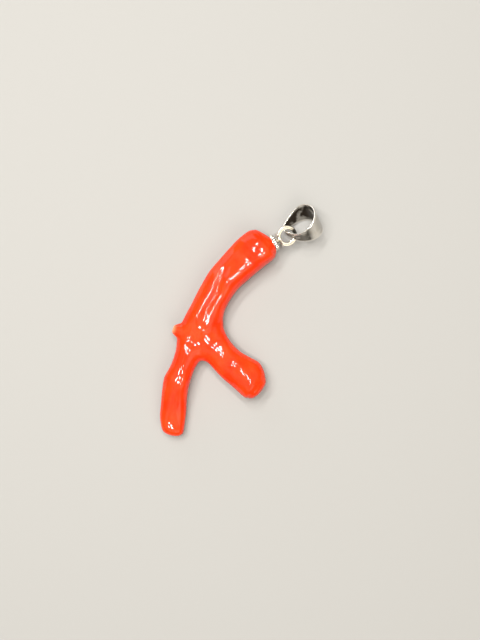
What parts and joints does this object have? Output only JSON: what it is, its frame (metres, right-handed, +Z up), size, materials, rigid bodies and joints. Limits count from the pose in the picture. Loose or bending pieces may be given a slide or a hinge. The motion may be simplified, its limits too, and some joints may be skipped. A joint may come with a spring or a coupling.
{
  "type": "coral branch pendant",
  "caption": "Polished forked coral branch with a silver end cap, an eye on a peg and a tapered strip bail that swings on the eye, lying on its back.",
  "frame": {"origin": "middle of the pendant's bounding box, at the level of the surface that it lies on", "axes": "+Y from the legs of the fork towards the bail, +Z up from the surface that it lies on, +X towards the broad side branch"},
  "size_m": [0.023, 0.0538, 0.0073],
  "materials": {
    "coral": "polished to a high gloss, semi-opaque red-orange",
    "silver": "bright polished silver"
  },
  "bodies": {
    "pendant": {"coral_branch": "coral", "end_cap": "silver", "eye_pin": "silver"},
    "bail": {"bail": "silver"}
  },
  "joints": [
    {"name": "bail_swing", "type": "hinge", "parent": "pendant", "child": "bail", "pos_m": [-0.00259, 0.02058, 0.00311], "axis": [0.6856, -0.6802, -0.2595], "range_deg": [-5, 75]}
  ]
}
